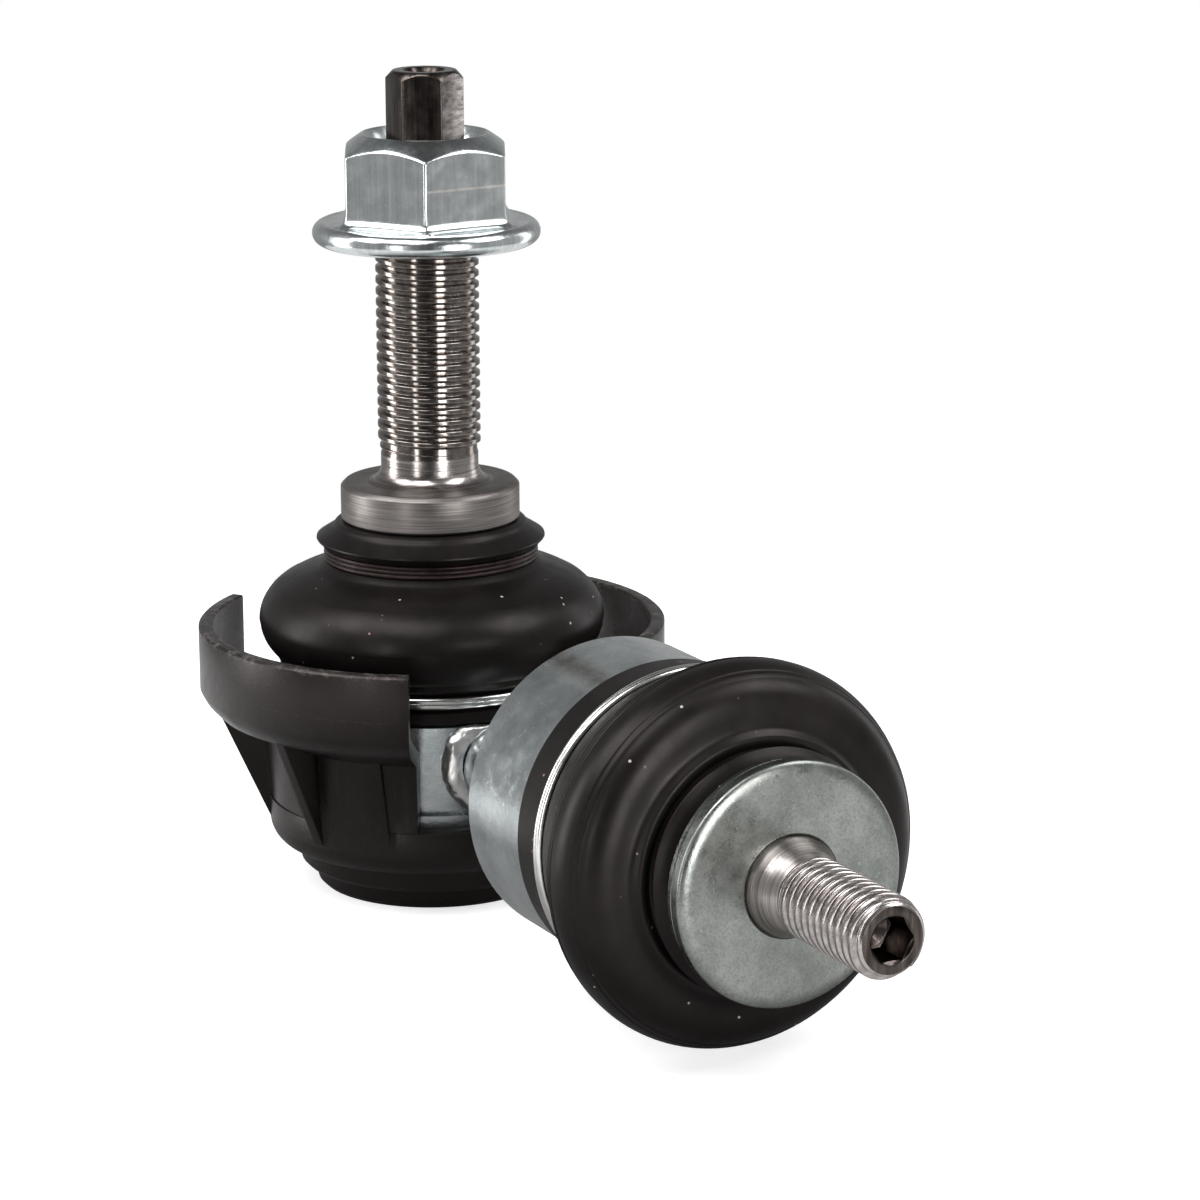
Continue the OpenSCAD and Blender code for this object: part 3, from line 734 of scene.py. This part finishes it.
def hexagon_radius(flats, rounding, offset):
    """Radius of a hexagon with rounded corners, offset degrees from the nearest corner."""
    away = math.radians(offset)
    middle = (flats / 2 - rounding) / math.cos(math.pi / 6)
    if math.tan(away) < rounding * 0.5 / (middle + rounding * math.cos(math.pi / 6)):
        return middle * math.cos(away) + math.sqrt(rounding ** 2 - (middle * math.sin(away)) ** 2)
    return flats / 2 / math.cos(math.pi / 6 - away)


def nut_outline(hexagon):
    """Outline of the nut where its hexagon has this radius, in millimetres from its foot."""
    hollow = min(1.5, 13.3 - hexagon)
    chamfer = 14.8 - (hexagon - 8.4) * 0.68
    return (
        # Foot, rounded flange and the hollow up to the hexagon
        [(7.7, 0.02), (12.9, 0.02)] + oval(13.65, 1.57, 1.53, 1.53, -86, 82, 12)
        + [(13.55, 3.02), (13.4, 2.98)] + oval(hexagon + hollow, 5.0, -hollow, -1.9, 90, 0, 6)
        # Flat, chamfer, upper rim, countersink and bore
        + [(hexagon, 7.5), (hexagon, 10), (hexagon, chamfer - 0.42), (hexagon - 0.035, chamfer - 0.2),
           (hexagon - 0.15, chamfer - 0.02), (hexagon - 0.45, chamfer + 0.27)]
        + [(9.3, 14.19), (8.6, 14.66), (8.45, 14.74), (8.28, 14.74), (8.15, 14.62),
           (6.95, 12.7), (6.95, 0.8)])


across_flats, corner_rounding, nut_angle = 21, 0.5, -26
# Angles of the columns, closer together at the corners
near_corner = (0, 0.4, 0.8, 1.2, 1.8, 3, 5, 8, 12, 16, 20, 25)
sixth = near_corner + (30,) + tuple(60 - angle for angle in reversed(near_corner[1:]))
columns = []
for angle in [60 * k + offset for k in range(6) for offset in sixth]:
    off_corner = min(angle % 60, 60 - angle % 60)
    outline = nut_outline(hexagon_radius(across_flats, corner_rounding, off_corner))
    columns.append(turned_by(math.radians(angle + nut_angle), outline, nut_foot))
nut = ringed("hexagon_flange_nut", columns, nut_zinc)
smooth(nut, 35)
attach(nut, "nut")
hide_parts("flange_nut")


# ----------------------------------------------------------------- photo table
# A pale floor, soft lamps and a white backdrop. The camera stands where the
# photograph was taken from.

floor_mesh = bpy.data.meshes.new("floor")
corners = 96
turns = [2 * math.pi * i / corners for i in range(corners)]
rim = [(0.04 + 0.21 * math.cos(turn), 0.21 * math.sin(turn), cad_low.z) for turn in turns]
floor_mesh.from_pydata(rim, [], [list(range(corners))])
floor = new_object("floor", floor_mesh)
paper, tree, shader = new_material("floor_paper")
rays = tree.nodes.new("ShaderNodeLightPath").outputs
# In the metal the table is dark beside the link, where it stands in its shade, and white further out
shift = add(tree, "ShaderNodeMapping", Vector=here(tree), Location=(-0.4, 0, 0), Scale=(10, 10, 0))
length = tree.nodes.new("ShaderNodeVectorMath")
length.operation = "LENGTH"
tree.links.new(shift.outputs["Vector"], length.inputs[0])
shade = ramp(tree, length.outputs["Value"], (0.55, grey(0.03)), (1.0, grey(0.6)))
reflected = mixed(tree, rays["Is Glossy Ray"], grey(0.05), shade)
put(tree, shader, Roughness=0.9, Specular_IOR_Level=0.1, Emission_Strength=1,
    Base_Color=ramp(tree, rays["Is Camera Ray"], (0, grey(0.25)), (1, grey(0.7))),
    Emission_Color=mixed(tree, rays["Is Camera Ray"], reflected, grey(0.68)))
floor_mesh.materials.append(paper)


def direction(turn, rise):
    """The unit vector at an angle about Z from +X and an angle above the floor."""
    return Vector((math.cos(turn) * math.cos(rise), math.sin(turn) * math.cos(rise), math.sin(rise)))


# Camera fitted to the photograph: its direction from the origin, then its place in metres
azimuth, elevation, roll = math.radians(-27.694), math.radians(14.139), math.radians(0.25)
back = direction(azimuth, elevation)
right = Vector((-math.sin(azimuth), math.cos(azimuth), 0))
up = back.cross(right)
side = math.cos(roll) * right - math.sin(roll) * up
top = math.sin(roll) * right + math.cos(roll) * up
lens = bpy.data.cameras.new("camera")
lens.sensor_width = 36
lens.lens = 126.84
lens.clip_end = 40
camera = new_object("camera", lens)
camera.matrix_world = Matrix((side, top, back)).transposed().to_4x4()
away, aside, above = 0.5768, 0.02277, 0.01263
camera.location = back * away + side * aside + top * above
bpy.context.scene.camera = camera


def softbox(name, turn, height, distance, size_x, size_y, watts):
    """An area lamp aimed at the link: turn is in degrees from the camera to the right, and
    height in degrees above the floor. Distance and sizes are in metres."""
    lamp = bpy.data.lights.new(name, "AREA")
    lamp.shape = "RECTANGLE"
    lamp.size = size_x
    lamp.size_y = size_y
    lamp.energy = watts
    holder = new_object(name, lamp)
    away = direction(azimuth + math.radians(turn), math.radians(height))
    holder.matrix_world = away.to_track_quat("Z", "Y").to_matrix().to_4x4()
    holder.location = Vector((0.03, 0, 0.015)) + away * distance


softbox("strip_far_left", -95, -3, 0.8, 0.26, 1.0, 4.4)
softbox("strip_left", -30, -3, 0.95, 0.12, 0.9, 2.0)
softbox("strip_right", 33, -3, 0.95, 0.28, 0.9, 7.0)
softbox("strip_far_right", 125, -2, 0.8, 0.22, 1.0, 1.1)
softbox("lamp_top_left", -78, 50, 0.8, 0.4, 0.4, 2.6)
softbox("lamp_top", -25, 62, 0.8, 0.4, 0.4, 2.6)
softbox("lamp_top_right", 80, 48, 0.8, 0.4, 0.4, 2.6)

# White backdrop for the camera, soft fill light, and in the metal's reflections a dark room with
# paler walls at both sides and behind
world = bpy.data.worlds.new("studio")
bpy.context.scene.world = world
world.use_nodes = True
tree = world.node_tree
rays = tree.nodes.new("ShaderNodeLightPath").outputs
look = tree.nodes.new("ShaderNodeTexCoord").outputs["Generated"]


def wall(facing, power):
    """1 in the given direction, falling to 0 at right angles to it."""
    return maths(tree, "POWER", maths(tree, "MAXIMUM", reach(tree, look, facing), 0), power)


sides = maths(tree, "MULTIPLY", maths(tree, "ADD", wall(right, 2), wall(-right, 2)), 0.36)
behind = maths(tree, "MULTIPLY", wall(-direction(azimuth, 0), 5), 0.36)
walls = maths(tree, "ADD", maths(tree, "ADD", sides, behind), 0.06)
direct = maths(tree, "MAXIMUM", rays["Is Camera Ray"], rays["Is Transmission Ray"])
fill = maths(tree, "MULTIPLY", rays["Is Diffuse Ray"], 0.26)
room = maths(tree, "MAXIMUM", walls, maths(tree, "MAXIMUM", direct, fill))
put(tree, tree.nodes["Background"], Color=(1, 1, 1), Strength=room)

bpy.context.scene.view_settings.view_transform = "Standard"
